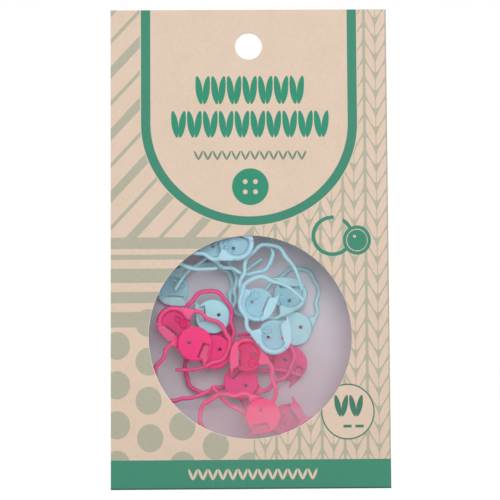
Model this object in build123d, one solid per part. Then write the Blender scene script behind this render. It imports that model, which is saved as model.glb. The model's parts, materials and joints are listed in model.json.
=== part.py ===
# Retail pack of twenty locking stitch markers, in millimetres.
# The pack stands on its bottom panel, +Z up, with its printed front facing -Y and X across it.
# The origin lies under the middle of the pack, on the surface that it stands on.
# Ten blue and ten pink markers lie in a flat pile behind the round window of a board carton.
from build123d import *
import math
import os

import numpy as np

os.makedirs("parts", exist_ok=True)

# Carton
pack_width = 81.0
pack_height = 140.0
body_height = 96.0
board = 0.45
film_thickness = 0.2
film_lap = 4.0
window_diameter = 59.0
window_height = 43.9
hang_hole = 8.0
hang_hole_drop = 10.8
lip_length = 8.5
lip_side_gap = 3.0
lip_corner = 3.0
flap_gap = 0.1
lip_gap = 0.2
dust_flap_reach = 18.0
dust_flap_taper = 4.0
dust_flap_gap = 0.3
lip_swing_gap = 0.4

# Stitch marker
head_diameter = 10.2
rim_width = 1.65
plate = 0.6
wire = 1.3
wire_tip = 1.0
slot_clearance = 0.1
flap_thickness = 0.5
pin_hole = 1.0
curl = 2.5
curl_height = 0.35
loop_reach = 18.0
hinge_gap = 0.36
web_width = 0.5
web_depth = 1.0
latch_angle = 36.0

# Pile
layer_gap = 0.25
side_gap = 0.25

head_radius = head_diameter / 2
wire_floor = plate + slot_clearance
wire_level = wire_floor + wire / 2
rim_height = wire_floor + wire
flap_floor = rim_height + slot_clearance
marker_depth = flap_floor + flap_thickness
inner_half_width = pack_width / 2 - board

# Line of the bent wire, in shares of the loop's reach: the root from the head's rim, the hinge that
# stands for the wire's bending, and the free arm round to its tip
root_shares = [(-0.256, 0.05), (-0.356, 0.078), (-0.428, 0.144), (-0.45, 0.228), (-0.45, 0.311),
               (-0.494, 0.394), (-0.544, 0.483), (-0.556, 0.578)]
hinge_shares = (-0.533, 0.667)
arm_shares = [(-0.511, 0.744), (-0.5, 0.817), (-0.45, 0.889), (-0.367, 0.939), (-0.272, 0.978),
              (-0.189, 0.989), (-0.1, 0.956), (-0.017, 0.911), (0.078, 0.886), (0.183, 0.844),
              (0.283, 0.778), (0.383, 0.694), (0.478, 0.606)]
taper_share = 0.5
root_rings = 11
arm_rings = 17
wire_sides = 6

# Clasp, window under it and neck of the wire on the head, in shares of the head's radius
flap_shares = [(0.53, -0.2), (0.365, 0.72), (0.66, 0.95), (0.73, 1.34), (0.97, 0.45), (0.985, -0.17),
               (0.9, -0.43), (0.64, -0.45)]
window_shares = [(0.48, -0.13), (0.86, -0.13), (0.8, 0.7), (0.33, 0.7)]
neck_shares = [(-0.82, 0.38), (-0.9, 0.43), (-1.22, 0.4), (-1.37, 0.2), (-0.97, -0.24), (-0.88, -0.2)]
pin_share = -0.35
curl_shares = (-0.37, 0.48)
curl_sides = 8
rim_start_angle = 156.0
rim_end_angle = 344.0
post_start_angle = 318.0

# Where each marker lies: across from the window's middle, in shares of the carton's inner half width,
# up from it, in shares of the room above it or below it, the degrees that the loop is turned
# clockwise from up, and the side that shows. The list runs from the front of the pile to its back.
pile = [
    ("blue_01", -0.0935, 0.5251, -53, "front"),
    ("blue_06", 0.1753, -0.005, 0, "front"),
    ("pink_10", 0.773, -0.7558, -90, "back"),
    ("blue_08", -0.2436, 0.6549, -141, "back"),
    ("blue_04", 0.0535, 0.1798, 33, "front"),
    ("blue_09", -0.2697, 0.5509, 91, "back"),
    ("pink_07", 0.0872, -0.5234, -109, "back"),
    ("pink_04", -0.022, -0.1162, -171, "front"),
    ("pink_02", -0.4045, -0.044, -168, "back"),
    ("pink_01", -0.5645, 0.0838, 138, "front"),
    ("pink_03", -0.2634, -0.1006, -25, "back"),
    ("blue_03", -0.2746, 0.1184, -15, "back"),
    ("pink_06", -0.0683, -0.304, 36, "back"),
    ("pink_09", 0.289, -0.5697, -24, "front"),
    ("blue_05", 0.3083, 0.2417, -77, "front"),
    ("pink_08", -0.2387, 0.021, -180, "back"),
    ("blue_10", 0.5843, 0.7417, -90, "front"),
    ("blue_07", 0.3398, 0.0469, -14, "back"),
    ("pink_05", 0.302, -0.1809, -148, "back"),
    ("blue_02", -0.5829, 0.2822, 103, "front"),
]


def head_points(shares):
    """Points on the head, in the head's plane."""
    return [(across * head_radius, up * head_radius) for across, up in shares]


def wire_points(shares):
    """Points of the bent wire's centre line in the head's plane."""
    return [(across * loop_reach, up * loop_reach) for across, up in shares]


def middle_of(row):
    """Where a marker's head lies in the pack, across and up."""
    name, across, up, degrees, side = row
    room = body_height - window_height if up > 0 else window_height
    return across * inner_half_width, window_height + up * room


def turned(points, degrees, pivot):
    """The points turned clockwise about the pivot, as rows of an array."""
    angle = -math.radians(degrees)
    turn = np.array([[math.cos(angle), -math.sin(angle)], [math.sin(angle), math.cos(angle)]])
    return (np.array(points) - pivot) @ turn.T + pivot


def filled(points, step):
    """Points along a line at no more than the given step."""
    rows = [np.array(points[0], float)]
    for start, end in zip(points, points[1:]):
        count = max(1, math.ceil(math.dist(start, end) / step))
        rows += [np.array(start) + (np.array(end) - np.array(start)) * i / count for i in range(1, count + 1)]
    return np.array(rows)


def footprint():
    """Areas that one marker covers in its own plane: points, radius about them, lowest and highest level."""
    step = wire / 2
    hinge = wire_points([hinge_shares])
    root = filled(head_points(neck_shares) + wire_points(root_shares) + hinge, step)
    arm = filled(hinge + wire_points(arm_shares), step)
    swings = math.ceil(math.radians(latch_angle) * loop_reach / step)
    swept = np.vstack([turned(arm, latch_angle * i / swings, hinge[0]) for i in range(swings + 1)])
    clasp = filled(head_points(flap_shares), step)
    return [(np.zeros((1, 2)), head_radius, 0, rim_height),
            (root, wire / 2, wire_floor, rim_height),
            (swept, wire / 2, wire_floor, rim_height),
            (clasp, wire / 2, 0, marker_depth)]


def laid(points, row):
    """Points of the marker's plane as they lie in the pack, across and up."""
    name, across, up, degrees, side = row
    angle = math.radians(degrees)
    forward = np.array([math.sin(angle), math.cos(angle)])
    right = np.array([math.cos(angle), -math.sin(angle)]) * (1 if side == "front" else -1)
    return np.array(middle_of(row)) + points[:, :1] * right + points[:, 1:] * forward


def depth_range(low, high, side):
    """How far behind a marker's nearest plane the levels from low to high lie."""
    return (marker_depth - high, marker_depth - low) if side == "front" else (low, high)


def pile_depths():
    """How deep each marker lies: as near the window as those laid before it allow."""
    areas = footprint()
    lip_line = filled([(-inner_half_width, body_height - lip_length / 2),
                       (inner_half_width, body_height - lip_length / 2)], wire)
    placed = [(0.0, [(lip_line, lip_length / 2, (0, 2 * board + lip_gap - film_thickness - layer_gap))])]
    for row in pile:
        own = [(laid(points, row), radius, depth_range(low, high, row[-1]))
               for points, radius, low, high in areas]
        depth = 0.0
        for other_depth, other in placed:
            for points, radius, (near, far) in own:
                for other_points, other_radius, (other_near, other_far) in other:
                    if other_depth + other_far + layer_gap - near <= depth:
                        continue
                    reach = radius + other_radius + side_gap
                    gaps = np.linalg.norm(points[:, None] - other_points[None], axis=2)
                    if gaps.min() < reach:
                        depth = other_depth + other_far + layer_gap - near
        placed.append((depth, own))
    return [depth for depth, own in placed[1:]]


depths = pile_depths()
pile_depth = max(depths) + marker_depth
inner_depth = film_thickness + layer_gap + pile_depth + layer_gap
pack_depth = inner_depth + 2 * board
front = -pack_depth / 2
back = pack_depth / 2
pile_front = front + board + film_thickness + layer_gap
cutter = pack_depth * 2


def save(name, shape):
    """Write one sub-part to its own file."""
    export_step(shape, "parts/" + name + ".step")


def slab(width, depth, height, at):
    """A box given by its middle across, its front face and its lowest level."""
    across, near, low = at
    return Pos(across, near + depth / 2, low + height / 2) * Box(width, depth, height)


def upright_hole(diameter, height):
    """A cylinder along the pack's depth, to cut a round hole in an upright panel."""
    return Pos(0, 0, height) * Rot(90, 0, 0) * Cylinder(diameter / 2, cutter)


def make_front_panel():
    """The printed face: one flat board from the bottom edge to the top of the header."""
    panel = slab(pack_width, board, pack_height, (0, front, 0))
    panel -= upright_hole(window_diameter, window_height)
    return panel - upright_hole(hang_hole, pack_height - hang_hole_drop)


def make_header_ply():
    """The board folded down and glued behind the header, with the same hang hole."""
    low = body_height + board + flap_gap + lip_gap
    ply = slab(pack_width, board, pack_height - low, (0, front + board, low))
    return ply - upright_hole(hang_hole, pack_height - hang_hole_drop)


def make_side(sign):
    """A side panel between the front and the back panel, standing on the bottom's level."""
    return slab(board, inner_depth, body_height, (sign * (pack_width - board) / 2, front + board, 0))


def make_back_panel():
    """The plain back of the carton."""
    return slab(pack_width, board, body_height, (0, back - board, 0))


def make_bottom_panel():
    """The glued bottom, held between the four walls."""
    return slab(2 * inner_half_width, inner_depth, board, (0, front + board, 0))


def make_film():
    """The clear film glued behind the window."""
    size = window_diameter + 2 * film_lap
    return slab(size, film_thickness, size, (0, front + board, window_height - size / 2))


lip_front = front + 2 * board + lip_gap
flap_front = lip_front + board + flap_gap
flap_reach = back - flap_front
lip_retreat = flap_reach - math.sqrt(flap_reach ** 2 - lip_length ** 2)


def make_top_flap():
    """The top flap, creased along the back panel's top edge."""
    return slab(pack_width, flap_reach, board, (0, flap_front, body_height + flap_gap))


def make_tuck_lip():
    """The lip that tucks down behind the front panel, with rounded lower corners."""
    width = 2 * (inner_half_width - lip_side_gap)
    height = lip_length + board + flap_gap
    outline = Pos(0, 0, body_height + flap_gap + board - height / 2) * (Rot(90, 0, 0) * Rectangle(width, height))
    lip = Pos(0, lip_front + board, 0) * extrude(outline, board)
    lower = [edge for edge in lip.edges().filter_by(Axis.Y) if edge.center().Z < body_height]
    return fillet(lower, lip_corner)


def make_dust_flap(sign):
    """A dust flap folded in under the top flap, tapered, and cut back where the tuck lip swings out."""
    near = lip_front + board + lip_retreat + lip_swing_gap
    far = back - board - dust_flap_gap
    wall = inner_half_width - flap_gap
    reach = wall - dust_flap_reach
    top = body_height - flap_gap
    corners = [(sign * wall, near), (sign * wall, far), (sign * reach, far - dust_flap_taper),
               (sign * reach, near + dust_flap_taper)]
    outline = Polyline(*corners, close=True)
    return Pos(0, 0, top - board) * extrude(make_face(outline), board)


def ring(path, share, diameter):
    """A flat-sided section of the bent wire, square to its line."""
    plane = Plane(origin=path @ share, x_dir=(0, 0, 1), z_dir=path % share)
    return plane * RegularPolygon(diameter / 2, wire_sides)


def bent_wire(path, rings, tip_diameter):
    """The wire along its line, tapering only over its last few sections."""
    sections = []
    for i in range(rings):
        share = i / (rings - 1)
        taper = max(0.0, 1 - (1 - share) / taper_share)
        sections.append(ring(path, share, wire + (tip_diameter - wire) * taper))
    return loft(sections, ruled=True)


def wire_lines():
    """The centre lines of the root half and of the free arm, tangent to each other at the hinge."""
    before, (hinge,), after = [[Vector(across, up, wire_level) for across, up in wire_points(shares)]
                               for shares in (root_shares, [hinge_shares], arm_shares)]
    along = (after[0] - before[-1]).normalized()
    inward = (before[1] - before[0]).normalized()
    root = Spline(*before, hinge - along * hinge_gap, tangents=(inward, along))
    last = (after[-1] - after[-2]).normalized()
    arm = Spline(hinge + along * hinge_gap, *after, tangents=(along, last))
    return root, arm, hinge, along


def sector(inner, outer, start_angle, end_angle, height):
    """A ring-shaped wall between two angles, standing on the head's back face."""
    outer_arc = CenterArc((0, 0), outer, start_angle, end_angle - start_angle)
    inner_arc = CenterArc((0, 0), inner, start_angle, end_angle - start_angle)
    outline = [outer_arc, Line(outer_arc @ 1, inner_arc @ 1), inner_arc, Line(inner_arc @ 0, outer_arc @ 0)]
    return extrude(make_face(outline), height)


def outlined(shares):
    """The flat face inside a row of points on the head."""
    return make_face(Polyline(*head_points(shares), close=True))


def make_head():
    """The marker's round head with its rim, pin hole, curl and clasp, and the root half of the wire."""
    head = extrude(Circle(head_radius), plate)
    head -= extrude(outlined(window_shares), plate)
    head += sector(head_radius - rim_width, head_radius, rim_start_angle, rim_end_angle, rim_height)
    head += sector(head_radius - rim_width, head_radius, post_start_angle, rim_end_angle, marker_depth)
    head += Pos(0, 0, wire_floor) * extrude(outlined(neck_shares), wire)
    head += Pos(0, 0, flap_floor) * extrude(outlined(flap_shares), flap_thickness)
    across, up = curl_shares
    coil = extrude(RegularPolygon(curl / 2, curl_sides), plate + curl_height)
    head += Pos(across * head_radius, up * head_radius) * coil
    head -= Pos(pin_share * head_radius, 0) * Cylinder(pin_hole / 2, cutter)
    root, arm, hinge, along = wire_lines()
    head += bent_wire(root, root_rings, wire)
    web = Plane(origin=hinge - along * hinge_gap, x_dir=(0, 0, 1), z_dir=along)
    head += extrude(web * Rectangle(web_depth, web_width), hinge_gap)
    return head


def make_arm():
    """The free arm of the wire, from the hinge to its tapered tip."""
    return bent_wire(wire_lines()[1], arm_rings, wire_tip)


def lying(row, depth):
    """The plane of a marker's own frame where it lies in the pack."""
    angle = math.radians(row[3])
    facing = 1 if row[-1] == "front" else -1
    deep = depth + (marker_depth if row[-1] == "front" else 0)
    across, up = middle_of(row)
    right = (facing * math.cos(angle), 0, -facing * math.sin(angle))
    return Plane(origin=(across, pile_front + deep, up), x_dir=right, z_dir=(0, -facing, 0))


save("front_panel", make_front_panel())
save("header_ply", make_header_ply())
save("side_left", make_side(-1))
save("side_right", make_side(1))
save("back_panel", make_back_panel())
save("bottom_panel", make_bottom_panel())
save("window_film", make_film())
save("top_flap", make_top_flap())
save("tuck_lip", make_tuck_lip())
save("dust_flap_left", make_dust_flap(-1))
save("dust_flap_right", make_dust_flap(1))

head = make_head()
arm = make_arm()
for row, depth in zip(pile, depths):
    plane = lying(row, depth)
    save("marker_" + row[0] + "_head", plane.location * head)
    save("marker_" + row[0] + "_arm", plane.location * arm)

hinge = wire_lines()[2]
print("front", round(front, 3), "back", round(back, 3), "lip axis", round(flap_front, 3),
      "pile front", round(pile_front, 3))
for row, depth in zip(pile, depths):
    place = lying(row, depth).from_local_coords(hinge)
    print("hinge", row[0], row[4], round(place.X, 3), round(place.Y, 3), round(place.Z, 3))
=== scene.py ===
# Retail pack of twenty locking stitch markers: a printed board carton with a round film window and a
# loose pile of light blue and pink plastic markers behind it. Everything is in metres, +Z up, front to -Y.
import bpy
import json
import math

import numpy as np
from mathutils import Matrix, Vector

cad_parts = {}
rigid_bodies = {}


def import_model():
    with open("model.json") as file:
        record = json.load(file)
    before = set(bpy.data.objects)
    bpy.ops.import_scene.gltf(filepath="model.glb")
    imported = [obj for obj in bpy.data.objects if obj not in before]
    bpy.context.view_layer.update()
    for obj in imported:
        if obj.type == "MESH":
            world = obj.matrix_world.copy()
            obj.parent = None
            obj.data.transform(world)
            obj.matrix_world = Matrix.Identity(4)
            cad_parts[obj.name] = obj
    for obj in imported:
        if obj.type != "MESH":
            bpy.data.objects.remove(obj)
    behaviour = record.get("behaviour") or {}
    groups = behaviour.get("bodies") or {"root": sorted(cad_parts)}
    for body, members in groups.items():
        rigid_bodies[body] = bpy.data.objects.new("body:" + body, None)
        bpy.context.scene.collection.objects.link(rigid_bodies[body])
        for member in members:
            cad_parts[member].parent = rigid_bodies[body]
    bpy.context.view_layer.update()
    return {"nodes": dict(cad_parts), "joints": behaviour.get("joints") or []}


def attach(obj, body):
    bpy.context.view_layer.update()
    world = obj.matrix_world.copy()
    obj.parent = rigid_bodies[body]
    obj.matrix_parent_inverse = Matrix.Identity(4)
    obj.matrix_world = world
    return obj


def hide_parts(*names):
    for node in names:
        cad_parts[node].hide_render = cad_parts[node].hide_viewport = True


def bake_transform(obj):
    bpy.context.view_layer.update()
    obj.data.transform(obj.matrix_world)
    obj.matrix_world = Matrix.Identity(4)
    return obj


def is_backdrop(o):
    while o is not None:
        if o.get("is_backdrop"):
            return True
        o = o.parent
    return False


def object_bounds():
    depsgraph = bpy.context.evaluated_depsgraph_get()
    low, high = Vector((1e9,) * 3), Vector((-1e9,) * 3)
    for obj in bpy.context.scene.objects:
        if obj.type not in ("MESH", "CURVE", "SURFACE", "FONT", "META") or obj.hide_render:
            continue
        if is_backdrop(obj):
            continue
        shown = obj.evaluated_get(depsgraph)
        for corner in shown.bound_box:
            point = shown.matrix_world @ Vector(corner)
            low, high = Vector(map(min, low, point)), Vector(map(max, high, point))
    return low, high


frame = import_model()
nodes = frame["nodes"]

# Camera: a long lens a little under the middle of the pack, which looks slightly up at the printed face,
# so that the pack's lower edge comes out a little wider than its upper edge.
camera = bpy.data.objects.new("camera", bpy.data.cameras.new("camera"))
bpy.context.scene.collection.objects.link(camera)
bpy.context.scene.camera = camera
camera.location = (-0.00464, -0.450, 0.04155)
camera.rotation_euler = [math.radians(angle) for angle in (93.587, 0.357, -0.591)]
camera.data.lens = 109.02
camera.data.sensor_width = 36.0
bpy.context.scene.view_settings.view_transform = "Standard"


def ink(red, green, blue, alpha=1.0):
    """A colour given as it looks on a screen, 0 to 255, as the linear colour of a shader."""
    shares = np.array([red, green, blue]) / 255
    linear = np.where(shares <= 0.04045, shares / 12.92, ((shares + 0.055) / 1.055) ** 2.4)
    return (*(float(value) for value in linear), alpha)


class Value:
    """A shader socket in an expression: each operator adds the Math node that works it out."""

    def __init__(self, finish, socket):
        self.finish = finish
        self.socket = socket

    def math(self, operation, *others):
        return self.finish.node("Math", [self, *others], operation=operation)

    def __add__(self, other):
        return self.math("ADD", other)

    def __sub__(self, other):
        return self.math("SUBTRACT", other)

    def __mul__(self, other):
        return self.math("MULTIPLY", other)

    def __truediv__(self, other):
        return self.math("DIVIDE", other)

    def __pow__(self, other):
        return self.math("POWER", other)

    def __rsub__(self, other):
        return self.finish.node("Math", [other, self], operation="SUBTRACT")

    def __abs__(self):
        return self.math("ABSOLUTE")

    __radd__ = __add__

    def low(self, other):
        """The smaller of the two."""
        return self.math("MINIMUM", other)

    def high(self, other):
        """The larger of the two."""
        return self.math("MAXIMUM", other)

    def root(self):
        return self.high(0.0).math("SQRT")

    def above(self, level, soft):
        """0 below the level and 1 above it, over a soft edge centred on the level."""
        return ((self - level) / soft + 0.5).high(0.0).low(1.0)

    def below(self, level, soft):
        return 1.0 - self.above(level, soft)

    def between(self, low, high, soft):
        return self.above(low, soft) * self.below(high, soft)

    def repeat(self, period):
        """Where the value stands in its period, from 0 to the period."""
        return (self / period).math("FRACT") * period


class Finish:
    """One material, or the surround, and the nodes that are added to it."""

    def __init__(self, name, owners=bpy.data.materials, kind="Material"):
        self.owner = owners.new(name)
        self.owner.use_nodes = True
        self.tree = self.owner.node_tree
        self.tree.nodes.clear()
        self.output = self.tree.nodes.new("ShaderNodeOutput" + kind)

    def node(self, kind, inputs=(), output=0, **settings):
        """Adds a node, sets it, then sets or links its sockets, and gives back one output."""
        made = self.tree.nodes.new("ShaderNode" + kind)
        for key, value in settings.items():
            setattr(made, key, value)
        pairs = inputs.items() if isinstance(inputs, dict) else enumerate(inputs)
        for key, value in pairs:
            if isinstance(value, Value):
                self.tree.links.new(value.socket, made.inputs[key])
            else:
                made.inputs[key].default_value = value
        return Value(self, made.outputs[output])

    def mix(self, share, first, second):
        """The first colour, turning into the second as the share goes from 0 to 1."""
        return self.node("Mix", {0: share, 6: first, 7: second}, 2, data_type="RGBA")

    def place(self):
        """Across, deep and up on the piece, in millimetres."""
        axes = self.node("SeparateXYZ", [self.node("TexCoord", output="Object")])
        return [Value(self, axes.socket.node.outputs[i]) * 1000.0 for i in range(3)]

    def facing(self):
        """The surface's own outward direction on the piece."""
        axes = self.node("SeparateXYZ", [self.node("TexCoord", output="Normal")])
        return [Value(self, axes.socket.node.outputs[i]) for i in range(3)]

    def noise(self, scale, detail, stretch=(1.0, 1.0, 1.0)):
        """Cloudy noise around 0.5, with its scale in waves to the metre."""
        place = self.node("Mapping", {0: self.node("TexCoord", output="Object"), 3: stretch})
        return self.node("TexNoise", {"Vector": place, "Scale": scale, "Detail": detail})

    def seen(self):
        """1 on what the camera sees, straight, mirrored or through something clear, and 0 elsewhere."""
        seen = self.node("LightPath", output="Is Camera Ray")
        rays = seen.socket.node.outputs
        for kind in ("Is Glossy Ray", "Is Transmission Ray"):
            seen = seen.high(Value(self, rays[kind]))
        return seen

    def bump(self, height, depth):
        """A normal for a height from 0 to 1 that stands for the given depth in metres."""
        return self.node("Bump", {"Strength": 1.0, "Distance": depth, "Height": height})

    def shade(self, **sockets):
        """Ends the material in one Principled shader with the given sockets."""
        named = {key.replace("_", " "): value for key, value in sockets.items()}
        shader = self.node("BsdfPrincipled", named)
        return self.end(shader)

    def end(self, shader):
        """Ends the material in the given shader."""
        self.tree.links.new(shader.socket, self.output.inputs["Surface"])
        return self.owner


def coat(name, material):
    """Gives a carton node its material."""
    nodes[name].data.materials.clear()
    nodes[name].data.materials.append(material)


# Floor and light: a pale sheet that the pack stands on, which fades into a white surround, with light
# from all round and one wide soft lamp at the front, a little above and to the right of the camera.
floor_reach = 3.0
pure_white, pure_black = (1.0, 1.0, 1.0, 1.0), (0.0, 0.0, 0.0, 1.0)
corners = np.array([(-1, -1, 0), (1, -1, 0), (1, 1, 0), (-1, 1, 0)]) * floor_reach
sheet = bpy.data.meshes.new("floor")
sheet.from_pydata(corners.tolist(), [], [(0, 1, 2, 3)])
floor = bpy.data.objects.new("floor", sheet)
bpy.context.scene.collection.objects.link(floor)
floor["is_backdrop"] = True

paper = Finish("floor_paper")
dull = paper.node("BsdfDiffuse", {"Color": ink(243, 243, 243)})
white = paper.node("Emission", {"Color": pure_white, "Strength": 1.09})
whiteness = 0.86
floor.data.materials.append(paper.end(paper.node("MixShader", [paper.seen() * whiteness, dull, white])))

surround_light = 0.58
sky = Finish("surround", bpy.data.worlds, "World")
bright = sky.seen() * (1.0 - surround_light) + surround_light
bpy.context.scene.world = sky.end(sky.node("Background", {"Color": pure_white, "Strength": bright}))

lamp = bpy.data.objects.new("lamp", bpy.data.lights.new("lamp", "AREA"))
bpy.context.scene.collection.objects.link(lamp)
lamp.data.shape = "DISK"
lamp.data.size = 0.55
lamp.data.energy = 4.1
lamp.location = (0.10, -1.0, 0.30)
lamp.rotation_euler = (math.radians(76.0), 0.0, math.radians(5.7))


# Front panel: the carton's face, white-cored board printed in flat colours on a kraft ground, with a
# round window and a hanging hole punched through it. Its stripes, bars, dots and knitted columns are
# common patterns, and its label is plain but for rows of stitches and a button.
window_place, window_radius = (0.0, 43.9), 29.5
hole_place, hole_radius = (0.0, 129.2), 4.0
kraft = ink(225, 202, 181)
kraft_dark = ink(214, 190, 168)
sage = ink(176, 175, 155)
label_green = ink(52, 135, 109)
stitch_green = ink(30, 140, 108)
band_green = ink(58, 138, 112)
line_green = ink(58, 120, 98)
# The next colour is a painted shadow for the carton's lower edge
bottom_shadow_green = ink(28, 52, 44)
board_core = ink(246, 238, 229)
# The second inside colour is painted light, used toward the upper right of the inside
inner_board, inner_board_painted_light = ink(218, 215, 223), ink(238, 239, 246)
edge_soft = 0.13


def oval(across, up, middle, half_width, half_height):
    """About how far a place lies outside an oval's edge, in millimetres: its distance from the middle in
    half widths and half heights, less 1, times the mean of the two."""
    wide = (across - middle[0]) / half_width
    tall = (up - middle[1]) / half_height
    return ((wide * wide + tall * tall).root() - 1.0) * ((half_width + half_height) / 2)


def stitch_leaves(side, rise, thickness, fullness):
    """Two leaves of a knitted stitch, where side runs from 0 at its middle to 1 at its edge and rise is
    the height over a leaf's spine: half a leaf is as high as the thickness times a power of the parabola
    4 side (1 - side), which is pointed at both ends."""
    swell = (side * (1.0 - side) * 4.0).high(0.0) ** fullness
    return (swell * thickness - abs(rise)).above(0.0, edge_soft * 2)


def stitch_row(across, up, count, width, low, high):
    """A row of plain knitted stitches between two heights, side by side and centred across, with a little
    space between them."""
    half = width / 2
    thickness = (high - low - half * knit_slope) / 2
    column = (across + count * half).repeat(width)
    side = abs(column - half) / half
    rise = up - low - thickness - side * (half * knit_slope)
    inside = abs(across).below(count * half, edge_soft)
    narrowing, fullness = 1.08, 0.34
    return stitch_leaves(side * narrowing, rise, thickness, fullness) * inside


def dashes(across, up, half_length, level, thickness):
    """A level line of running stitches."""
    dash, dash_period = 2.4, 3.5
    run = (across + half_length).repeat(dash_period).below(dash, edge_soft)
    return run * abs(across).below(half_length, edge_soft) * abs(up - level).below(thickness / 2, edge_soft)


def banded(finish, up, colour):
    """The colour with the green band that runs round the foot of the carton."""
    band_top = 8.45
    return finish.mix(up.below(band_top, edge_soft), colour, band_green)


front = Finish("printed_board")
across, _, up = front.place()
toward_back = front.facing()[1]

# The label's outline comes straight down from the top edge and closes in half an oval
label_middle, label_half_width, label_half_height = (0.05, 106.4), 31.65, 30.0
label_line, label_gap = 2.68, 0.3
below_middle = (up - label_middle[1]).low(0.0)
label_reach = oval(across, below_middle, (label_middle[0], 0.0), label_half_width, label_half_height)
outside_label = label_reach.above(label_gap, edge_soft)
label_stroke = label_reach.between(-label_line, 0.0, edge_soft)
pattern_border = 0.78
left_half = across.below(pattern_border, edge_soft)

# Slanted stripes, a wide and a thin one in turn, then level bars, then dots
stripe_period, stripe_slope, stripe_start, stripe_foot = 18.3, 1.077, 155.9, 73.0
wide_stripe_reach, thin_stripe_start = 1.85, 8.4
stripe_level = (up - across * stripe_slope - stripe_start).repeat(stripe_period)
stripe_run = abs(stripe_level - stripe_period / 2)
stripes = stripe_run.below(wide_stripe_reach, edge_soft) + stripe_run.above(thin_stripe_start, edge_soft)
stripes = stripes * up.above(stripe_foot, edge_soft)
bars = up.between(69.6, stripe_foot, edge_soft)
for low, high in ((66.5, 67.95), (59.75, 63.9), (53.85, 57.1), (46.8, 51.3)):
    bars = bars + up.between(low, high, edge_soft)
dot_half_width, dot_half_height = 3.8, 4.05
dots = None
for middle in ((-38.7, 41.5), (-38.7, 30.1), (-38.7, 18.6), (-38.7, 7.25), (-29.55, 48.1), (-29.55, 36.9),
               (-29.55, 25.6), (-29.1, 14.8), (-19.8, 18.15), (-19.8, 6.9), (-10.15, 12.5), (-0.4, 6.5)):
    dot = oval(across, up, middle, dot_half_width, dot_half_height).below(0.0, edge_soft)
    dots = dot if dots is None else dots.high(dot)
left_print = (stripes + bars).high(dots) * left_half

# Knitted columns on the right: kraft leaves on sage, with a thin line down each column's middle and a
# broad one between columns
knit_width, knit_height, knit_slope = 6.62, 5.43, 1.72
knit_start, knit_foot = 0.79, 0.4
leaf_thickness, leaf_fullness = 2.36, 0.3
knit_side = abs((across - knit_start).repeat(knit_width) - knit_width / 2) / (knit_width / 2)
knit_spine = knit_side * (knit_width / 2 * knit_slope) + knit_foot
knit_rise = (up - knit_spine).repeat(knit_height) - knit_height / 2
leaves = stitch_leaves(knit_side, knit_rise, leaf_thickness, leaf_fullness)
leaves = leaves * knit_side.between(0.035, 0.875, 0.06)
right_print = (1.0 - leaves) * (1.0 - left_half)

cloud = front.noise(120.0, 3.0)
ground = front.mix(cloud.above(0.62, 0.5) * 0.35, kraft, kraft_dark)
sage_cover = 0.94
colour = front.mix((left_print + right_print) * outside_label * sage_cover, ground, sage)
colour = front.mix(label_stroke, colour, label_green)

# Three rows of stitches on the label, and a button with four holes
label_centre = 0.3
from_centre = across - label_centre
large_rows = ((7, 4.6, 110.8, 121.9), (10, 4.65, 101.0, 111.6))
small_row, small_row_cover = (12, 2.75, 95.2, 98.9), 0.85
large_stitches = sum(stitch_row(from_centre, up, *row) for row in large_rows)
colour = front.mix(large_stitches.low(1.0), colour, stitch_green)
colour = front.mix(stitch_row(from_centre, up, *small_row) * small_row_cover, colour, line_green)
button_level, button_half_width, button_half_height = 87.7, 5.35, 5.4
thread_hole_reach, thread_hole = 1.5, 0.7
button = oval(from_centre, up, (0.0, button_level), button_half_width, button_half_height)
button = button.below(0.0, edge_soft)
for right, raised in ((-1, -1), (1, -1), (-1, 1), (1, 1)):
    hole = (right * thread_hole_reach, button_level + raised * thread_hole_reach)
    button = button * oval(from_centre, up, hole, thread_hole, thread_hole).above(0.0, edge_soft)
colour = front.mix(button, colour, stitch_green)

# A plain marker sign on the knitted ground: an open loop and its round head with a pin hole
loop_middle, sign_head_middle, sign_pin = (24.2, 73.2), (31.3, 71.9), (30.6, 73.0)
loop_line, sign_rim, sign_groove = 1.1, 1.1, 0.24
loop = abs(oval(across, up, loop_middle, 5.6, 5.4)).below(loop_line / 2, edge_soft)
opening = across.between(24.6, 27.2, edge_soft) * up.above(75.0, edge_soft)
sign_head = oval(across, up, sign_head_middle, 4.1, 4.3)
groove = abs(sign_head + sign_rim).above(sign_groove / 2, edge_soft)
sign = (loop * (1.0 - opening)).high(sign_head.below(0.0, edge_soft)) * groove
sign = sign * oval(across, up, sign_pin, 0.45, 0.45).above(0.0, edge_soft)
colour = front.mix(sign, colour, label_green)

# A thin ring by the window, with two stitches and two dashes inside
ring_middle, ring_half_width, ring_half_height, ring_line = (28.15, 22.1), 7.75, 8.05, 0.4
ring_stitches_centre, ring_stitches = 28.4, (2, 4.3, 19.7, 28.2)
ring_dashes_centre, ring_dashes = 29.8, (3.0, 17.9, 0.8)
ring_outline = oval(across, up, ring_middle, ring_half_width, ring_half_height)
colour = front.mix(ring_outline.below(0.0, edge_soft), colour, kraft)
colour = front.mix(abs(ring_outline + 0.17).below(ring_line / 2, edge_soft), colour, line_green)
colour = front.mix(stitch_row(across - ring_stitches_centre, up, *ring_stitches), colour, line_green)
colour = front.mix(dashes(across - ring_dashes_centre, up, *ring_dashes), colour, line_green)

# The green band at the foot, a row of stitches on it, and a painted shadow along its lower edge
colour = banded(front, up, colour)
band_centre, band_row = 0.5, (13, 2.88, 2.2, 6.5)
colour = front.mix(stitch_row(across - band_centre, up, *band_row), colour, kraft)
# Painted shadow: a dark green line along the lower edge, where the bottom fold turns away into shade
colour = front.mix(up.below(0.4, 0.3) * 0.8, colour, bottom_shadow_green)

# Fine specks where the ink lies unevenly
specks = front.noise(1300.0, 4.0)
colour = front.mix(specks.above(0.55, 0.35) * 0.055, colour, pure_black)
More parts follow.
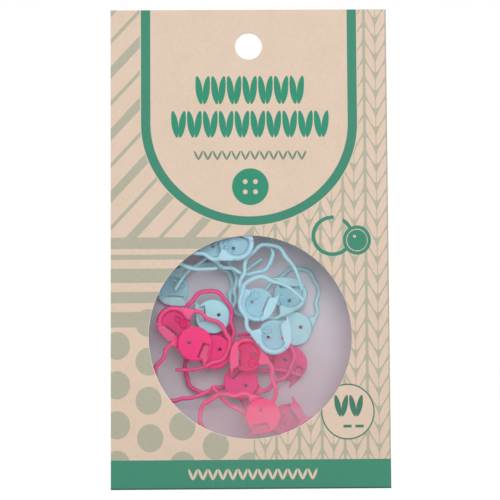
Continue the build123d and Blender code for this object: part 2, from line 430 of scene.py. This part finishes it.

# The window's edge has a painted highlight in the white core's colour on the face, most at the lower left,
# where light falls on the cut edge, and both holes show the white core all round on their walls
from_window = oval(across, up, window_place, window_radius, window_radius)
from_hole = oval(across, up, hole_place, hole_radius, hole_radius)
# Painted highlight: the white core's colour along the window's edge, strongest at the lower left
lit_lower_left = ((across * -0.5 - (up - window_place[1]) * 0.87) / window_radius * 0.5 + 0.5).high(0.0)
colour = front.mix(from_window.below(0.12, 0.22) * lit_lower_left * 0.85, colour, board_core)
punched = from_window.below(0.05, 0.02).high(from_hole.below(0.05, 0.02))
cut_edge = abs(toward_back).below(0.5, 0.1)
colour = front.mix(cut_edge * punched, colour, board_core)
colour = front.mix(toward_back.above(0.5, 0.1), colour, inner_board)

fibres = front.noise(2600.0, 3.0, (1.0, 1.0, 0.45))
coat("front_panel", front.shade(
    Base_Color=colour, Roughness=cloud * 0.1 + 0.52, Specular_IOR_Level=0.35,
    Normal=front.bump(fibres, 0.000008)))


# Other walls and flaps: the same board, folded on from the front. Its outside is the plain kraft ground
# with the green band at the foot, and its inside is bare grey board, with painted light making it paler
# toward the upper right, where the window's top edge shades it. The cut edges of the lip and the dust flaps
# show the white core.
outside = {"header_ply": (0, 1, 0), "side_left": (-1, 0, 0), "side_right": (1, 0, 0),
           "back_panel": (0, 1, 0), "bottom_panel": (0, 0, -1), "top_flap": (0, 0, 1),
           "tuck_lip": (0, -1, 0), "dust_flap_left": (0, 0, 1), "dust_flap_right": (0, 0, 1)}
for name, outward in outside.items():
    wall = Finish(name + "_board")
    across, _, up = wall.place()
    turned = sum(axis * share for axis, share in zip(wall.facing(), outward) if share)
    cloud = wall.noise(120.0, 3.0)
    colour = wall.mix(cloud.above(0.62, 0.5) * 0.35, kraft, kraft_dark)
    if name in ("side_left", "side_right", "back_panel", "bottom_panel"):
        colour = banded(wall, up, colour)
    # Painted light: the inside board turns paler toward the upper right, against the shade of the window's
    # top edge
    painted_light_upper_right = (across + up - window_place[1]).above(26.0, 26.0)
    inside = wall.mix(painted_light_upper_right, inner_board, inner_board_painted_light)
    colour = wall.mix(turned.below(-0.5, 0.1), colour, inside)
    if name in ("tuck_lip", "dust_flap_left", "dust_flap_right"):
        colour = wall.mix(abs(turned).below(0.5, 0.1), colour, board_core)
    fibres = wall.noise(2600.0, 3.0, (1.0, 1.0, 0.45))
    coat(name, wall.shade(
        Base_Color=colour, Roughness=cloud * 0.1 + 0.55, Specular_IOR_Level=0.3,
        Normal=wall.bump(fibres, 0.000008)))


# Window film: thin clear film glued behind the window, with slow waves that bend its reflections. A faint
# veil covers its lower part, partly the film's own haze and partly painted reflection, tinted pink as
# painted bounce light from the pink markers under it, and more painted reflection covers its lower right.
# The veil's pink tint is painted bounce light from the pink markers
haze_and_bounce_tint, haze_top = ink(255, 216, 228), 25.5
film = Finish("window_film")
across, _, up = film.place()
cloud = film.noise(60.0, 2.0)
# Painted reflection: the film turns paler and less clear toward its lower right
reflection_lower_right = (across - up + window_place[1]).above(21.0, 46.0)
haze_and_reflection = (up + cloud * 5.0).below(haze_top, 1.8) * 0.07 + reflection_lower_right * 0.12
coat("window_film", film.shade(
    Base_Color=haze_and_bounce_tint, Alpha=haze_and_reflection + cloud * 0.014 + 0.008, Roughness=0.16,
    Normal=film.bump(film.noise(45.0, 1.0), 0.0004)))


# Stitch markers: twenty pieces of one small moulding, ten light blue and ten pink. Each has a round head
# with a raised rim, a pin hole, a snail curl and a clasp, and a wavy wire whose tapered tip snaps under the
# clasp. The head and the wire's root are one piece here, and the wire's free arm is the other.
head_radius, plate_height = 5.1, 0.6
rim_middle, rim_half, rim_level = 4.275, 0.825, 1.0
wire_radius, wire_level, tip_radius = 0.65, 1.35, 0.5
clasp_low, clasp_high = 2.1, 2.6
pin_place, pin_radius = (-1.785, 0.0), 0.52
curl_place, curl_radius = (-1.89, 2.45), 1.15
loop_reach = 18.0
root_points = np.array([(-0.256, 0.05), (-0.356, 0.078), (-0.428, 0.144), (-0.45, 0.228), (-0.45, 0.311),
                        (-0.494, 0.394), (-0.544, 0.483), (-0.556, 0.578)]) * loop_reach
hinge_point = np.array((-0.533, 0.667)) * loop_reach
arm_points = np.array([(-0.511, 0.744), (-0.5, 0.817), (-0.45, 0.889), (-0.367, 0.939), (-0.272, 0.978),
                       (-0.189, 0.989), (-0.1, 0.956), (-0.017, 0.911), (0.078, 0.886), (0.183, 0.844),
                       (0.283, 0.778), (0.383, 0.694), (0.478, 0.606)]) * loop_reach
flap_points = np.array([(0.53, -0.2), (0.365, 0.72), (0.66, 0.95), (0.73, 1.34), (0.97, 0.45), (0.985, -0.17),
                        (0.9, -0.43), (0.64, -0.45)])[::-1] * head_radius
window_points = np.array([(0.44, -0.14), (0.86, -0.14), (0.8, 0.74), (0.29, 0.74)]) * head_radius
neck_points = np.array([(-0.78, 0.56), (-0.94, 0.47), (-1.22, 0.43), (-1.42, 0.25), (-1.27, 0.0),
                        (-1.07, -0.25), (-0.93, -0.45), (-0.76, -0.3), (-0.78, 0.1),
                        (-0.7, 0.4)]) * head_radius
marker_turns = {"blue_01": -53, "blue_02": 103, "blue_03": -15, "blue_04": 33, "blue_05": -77, "blue_06": 0,
                "blue_07": -14, "blue_08": -141, "blue_09": 91, "blue_10": -90,
                "pink_01": 138, "pink_02": -168, "pink_03": -25, "pink_04": -171, "pink_05": -148,
                "pink_06": 36, "pink_07": -109, "pink_08": -180, "pink_09": -24, "pink_10": -90}


def smooth_line(points, count):
    """Evenly spaced places on a natural cubic spline through the points, by solving for its second
    derivatives over the lengths between them."""
    steps = np.linalg.norm(np.diff(points, axis=0), axis=1)
    at = np.concatenate([[0.0], np.cumsum(steps)])
    size = len(points)
    system = np.eye(size)
    right = np.zeros((size, 2))
    inner = np.arange(1, size - 1)
    system[inner, inner - 1] = steps[:-1]
    system[inner, inner] = 2 * (steps[:-1] + steps[1:])
    system[inner, inner + 1] = steps[1:]
    slopes = np.diff(points, axis=0) / steps[:, None]
    right[inner] = 6 * np.diff(slopes, axis=0)
    bend = np.linalg.solve(system, right)
    where = np.linspace(0.0, at[-1], count)
    run = np.clip(np.searchsorted(at, where, side="right") - 1, 0, size - 2)
    step = steps[run][:, None]
    ahead = (where - at[run])[:, None] / step
    behind = 1.0 - ahead
    curve = behind * points[run] + ahead * points[run + 1]
    return curve + step ** 2 / 6 * ((behind ** 3 - behind) * bend[run] + (ahead ** 3 - ahead) * bend[run + 1])


def tube(line, level, radii, flat=1.0, sides=16):
    """A rod along a level line: each ring is the line's point plus the radius times the sideways
    direction times cos and the upward one times sin of the angle round it, where flat scales the upward
    part. Its two ends close in small domes."""
    along = np.gradient(line, axis=0)
    along /= np.linalg.norm(along, axis=1)[:, None]
    dome = np.radians([75.0, 50.0, 25.0])
    first = line[0] - along[0] * (radii[0] * np.sin(dome))[:, None]
    last = line[-1] + along[-1] * (radii[-1] * np.sin(dome[::-1]))[:, None]
    path = np.vstack([first, line, last])
    widths = np.concatenate([radii[0] * np.cos(dome), radii, radii[-1] * np.cos(dome[::-1])])
    ways = np.vstack([np.repeat(along[:1], 3, 0), along, np.repeat(along[-1:], 3, 0)])
    turn = np.linspace(0.0, 2 * math.pi, sides, endpoint=False)
    across = np.stack([-ways[:, 1], ways[:, 0]], 1)
    plane = path[:, None] + across[:, None] * (widths[:, None] * np.cos(turn))[:, :, None]
    heights = level + widths[:, None] * np.sin(turn) * flat
    rings = np.concatenate([plane, heights[:, :, None]], 2)
    return skin(rings)


def skin(rings):
    """Faces between rings of points, each ring closed on itself, with a cap on the first and last."""
    count, sides = rings.shape[:2]
    row, place = np.meshgrid(np.arange(count - 1), np.arange(sides), indexing="ij")
    beside = (place + 1) % sides
    quads = np.stack([row * sides + place, row * sides + beside,
                      (row + 1) * sides + beside, (row + 1) * sides + place], -1).reshape(-1, 4)
    faces = quads.tolist()
    faces.append(list(range(sides - 1, -1, -1)))
    faces.append(list(range((count - 1) * sides, count * sides)))
    return rings.reshape(-1, 3), faces


def rounded(corners, rounds, cut=0.22):
    """The outline with its corners cut off again and again at the given share of each side."""
    for _ in range(rounds):
        after = np.roll(corners, -1, 0)
        ends = [corners * (1 - cut) + after * cut, corners * cut + after * (1 - cut)]
        corners = np.stack(ends, 1).reshape(-1, 2)
    return corners


def plate_of(outline, low, high, edge):
    """A flat plate with rounded edges: rings of the outline, drawn in by edge times 1 - sin and raised
    from the lower face by edge times 1 - cos of an angle from 0 to 90 degrees, and the same upside down
    below the upper face."""
    after, before = np.roll(outline, -1, 0), np.roll(outline, 1, 0)
    along = after - before
    outward = np.stack([along[:, 1], -along[:, 0]], 1) / np.linalg.norm(along, axis=1)[:, None]
    angles = np.radians([0.0, 30.0, 60.0, 90.0])
    rings = [np.column_stack([outline - outward * edge * (1 - math.sin(a)),
                              np.full(len(outline), low + edge * (1 - math.cos(a)))]) for a in angles]
    rings += [np.column_stack([outline - outward * edge * (1 - math.sin(a)),
                               np.full(len(outline), high - edge * (1 - math.cos(a)))]) for a in angles[::-1]]
    return skin(np.array(rings))


def circle(middle, radius, count):
    """Points round a circle, anticlockwise."""
    turn = np.linspace(0.0, 2 * math.pi, count, endpoint=False)
    return np.stack([middle[0] + radius * np.cos(turn), middle[1] + radius * np.sin(turn)], 1)


def arc(radius, start, end, count):
    """Points on an arc about the head's middle, between two angles in degrees."""
    turn = np.radians(np.linspace(start, end, count))
    return np.stack([radius * np.cos(turn), radius * np.sin(turn)], 1)


def loose_object(name, points, faces):
    """A mesh object for the given points and faces."""
    mesh = bpy.data.meshes.new(name)
    mesh.from_pydata(points.tolist(), [], faces)
    mesh.update()
    made = bpy.data.objects.new(name, mesh)
    bpy.context.scene.collection.objects.link(made)
    return made


def finished(made, *others):
    """The points and faces that an object's modifiers give; the object and the others are then deleted."""
    bpy.context.view_layer.update()
    shaped = made.evaluated_get(bpy.context.evaluated_depsgraph_get())
    mesh = bpy.data.meshes.new_from_object(shaped)
    points = np.zeros(len(mesh.vertices) * 3)
    mesh.vertices.foreach_get("co", points)
    faces = [tuple(face.vertices) for face in mesh.polygons]
    for piece in (made, *others):
        bpy.data.objects.remove(piece)
    bpy.data.meshes.remove(mesh)
    return points.reshape(-1, 3), faces


def pierced(shape, holes):
    """The shape with the holes' shapes cut out of it."""
    made = loose_object("plate", *shape)
    cutters = [loose_object("hole", *hole) for hole in holes]
    for cutter in cutters:
        cut = made.modifiers.new("cut", "BOOLEAN")
        cut.operation, cut.solver, cut.object = "DIFFERENCE", "EXACT", cutter
    return finished(made, *cutters)


def settled(shapes, pitch):
    """One moulding from overlapping closed shapes: the whole is meshed anew at the pitch and smoothed,
    which rounds its inner corners as a mould does."""
    points, faces = np.zeros((0, 3)), []
    for more_points, more_faces in shapes:
        faces += [tuple(index + len(points) for index in face) for face in more_faces]
        points = np.vstack([points, more_points])
    made = loose_object("moulding", points, faces)
    remesh = made.modifiers.new("remesh", "REMESH")
    remesh.mode, remesh.voxel_size, remesh.adaptivity = "VOXEL", pitch, 0.0
    soften = made.modifiers.new("soften", "SMOOTH")
    soften.factor, soften.iterations = 0.5, 3
    return finished(made)


def curl_line(middle, outer, inner, turns, count):
    """A spiral whose radius falls evenly from outer to inner."""
    turn = np.linspace(0.0, 2 * math.pi * turns, count) + math.radians(200.0)
    radius = np.linspace(outer, inner, count)
    return np.stack([middle[0] + radius * np.cos(turn), middle[1] + radius * np.sin(turn)], 1)


# The wire's line, thinner over its last third. Its root ends a little before the hinge, and its arm starts
# inside the root.
wire_rows, taper_row, before_hinge, inside_root = 181, 118, 4, 6
whole_line = smooth_line(np.vstack([root_points, hinge_point, arm_points]), wire_rows)
hinge_row = int(np.argmin(np.linalg.norm(whole_line - hinge_point, axis=1)))
taper = np.clip((np.arange(wire_rows) - taper_row) / (wire_rows - 1 - taper_row), 0.0, 1.0)
wire_radii = wire_radius - (wire_radius - tip_radius) * taper
root_row = hinge_row - before_hinge
arm_row = root_row - inside_root

# The head: its plate with the clasp's window and the pin hole, and on it the rim, the clasp, the neck, the
# clasp's foot on the rim, the curl, the pin hole's lip and the wire's root
hole_low, hole_high, hole_round = -0.5, 1.6, 0.02
head_holes = [plate_of(window_points, hole_low, hole_high, hole_round),
              plate_of(circle(pin_place, pin_radius, 24), hole_low, hole_high, hole_round)]
clasp_foot = np.vstack([arc(5.02, 316.0, 344.0, 10), arc(3.6, 344.0, 316.0, 10)])
curl_rows, lip_rows, rim_rows = 48, 31, 60
head_shapes = [
    pierced(plate_of(circle((0.0, 0.0), head_radius, 96), 0.0, plate_height, 0.16), head_holes),
    tube(arc(rim_middle, 160.0, 338.0, rim_rows), rim_level, np.full(rim_rows, rim_half), 1.0 / rim_half, 20),
    plate_of(rounded(flap_points, 2, 0.1), clasp_low, clasp_high, 0.12),
    plate_of(rounded(neck_points, 2), plate_height, 2.0, 0.4),
    plate_of(rounded(clasp_foot, 1), 0.2, 2.5, 0.12),
    tube(curl_line(curl_place, curl_radius, 0.14, 1.25, curl_rows), 0.8, np.linspace(0.31, 0.26, curl_rows),
         sides=10),
    tube(circle(pin_place, 0.76, lip_rows + 1)[:lip_rows], 0.64, np.full(lip_rows, 0.2), sides=8),
    tube(whole_line[:root_row + 1], wire_level, wire_radii[:root_row + 1]),
]
mesh_pitch = 0.13
head_points, head_faces = settled(head_shapes, mesh_pitch)
arm_mesh, arm_faces = tube(whole_line[arm_row:], wire_level, wire_radii[arm_row:])


def laid(points, hinge, degrees, facing):
    """Points of the marker's own frame where it lies in the pack, in metres: turned clockwise from up, and
    turned over where its back faces the window."""
    angle = math.radians(degrees)
    right = np.array((math.cos(angle), 0.0, -math.sin(angle))) * facing
    forward = np.array((math.sin(angle), 0.0, math.cos(angle)))
    raised = np.array((0.0, -float(facing), 0.0))
    from_hinge = points - (*hinge_point, wire_level)
    frame_axes = np.stack([right, forward, raised])
    return np.array(hinge) + from_hinge @ frame_axes / 1000


def moulded(name, colour, deep_painted_light_colour, floor_shade, gloss):
    """Coloured plastic: satin, a little clear, with a faint flow of colour and fine scratches. Painted shade
    darkens the recessed floor, a painted highlight makes raised rims and wires paler, and markers deeper in
    the pile are painted lighter against the shade there."""
    pile_front, pile_depth = -7.0, 11.0
    plastic = Finish(name)
    flow = plastic.noise(260.0, 2.0)
    deep = plastic.place()[1]
    # Painted light: markers deeper in the pile turn toward a paler colour, against the shade there
    body = plastic.mix(((deep - pile_front) / pile_depth).high(0.0).low(1.0), colour, deep_painted_light_colour)
    rise = plastic.node("Attribute", output="Fac", attribute_name="rise")
    # Darker where the colour flows, and painted shade on the recessed floor
    flow_tone_and_recess_shade = flow.above(0.6, 0.6) * 0.08 + rise.between(0.3, 1.1, 0.6) * floor_shade
    body = plastic.mix(flow_tone_and_recess_shade, body, pure_black)
    # Painted highlight: raised rims and the wires mixed toward white
    body = plastic.mix(rise.above(1.6, 0.6) * 0.09, body, pure_white)
    scratches = plastic.noise(5200.0, 2.0)
    return plastic.shade(
        Base_Color=body, Roughness=flow * 0.14 + 0.28, Specular_IOR_Level=gloss, Subsurface_Weight=0.7,
        Subsurface_Radius=(1.0, 1.0, 1.0), Subsurface_Scale=0.001,
        Normal=plastic.bump(scratches, 0.0000025))


# Each plastic's second colour is painted light for the markers deep in the pile
plastics = {"blue": moulded("blue_plastic", ink(166, 216, 233), ink(181, 241, 255), 0.14, 0.3),
            "pink": moulded("pink_plastic", ink(248, 8, 124), ink(255, 10, 146), 0.2, 0.25)}


def wire_rise(points):
    """How far each point counts as raised, for the plastic's painted shade and highlight: on the head its own
    level, and on the wire the level of the wire's top, so that the whole wire gets the painted highlight,
    with a blend between them over the neck."""
    neck_length = 1.2
    from_middle = np.linalg.norm(points[:, :2], axis=1)
    out = np.clip((from_middle - head_radius) / neck_length, 0.0, 1.0)
    return points[:, 2] * (1.0 - out) + (wire_level + wire_radius) * out


def marker_piece(name, colour, points, faces, rise):
    """A smooth mesh of one marker's piece in its plastic, with how far each point is raised."""
    made = loose_object(name, points, faces)
    made.data.attributes.new("rise", "FLOAT", "POINT").data.foreach_set("value", rise)
    made.data.polygons.foreach_set("use_smooth", [True] * len(faces))
    made.data.materials.append(plastics[colour])
    return (made, colour + "_plastic")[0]


# Each marker lies where its joint in the frame is; its wire's root ends a little before the hinge, and its
# arm, which starts inside the root, is a separate mesh
head_rise, arm_rise = wire_rise(head_points), wire_rise(arm_mesh)
for joint in frame["joints"]:
    marker = joint["child"].removeprefix("arm_")
    if marker not in marker_turns:
        continue
    hinge, facing = joint["pos_m"], int(round(joint["axis"][1]))
    degrees, colour = marker_turns[marker], marker.split("_")[0]
    head_place = laid(head_points, hinge, degrees, facing)
    made = marker_piece("head_" + marker, colour, head_place, head_faces, head_rise)
    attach(made, joint["parent"])
    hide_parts("marker_" + marker + "_head")

    arm_place = laid(arm_mesh, hinge, degrees, facing)
    made = marker_piece("wire_" + marker, colour, arm_place, arm_faces, arm_rise)
    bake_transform(made)
    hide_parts("marker_" + marker + "_arm")

low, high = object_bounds()
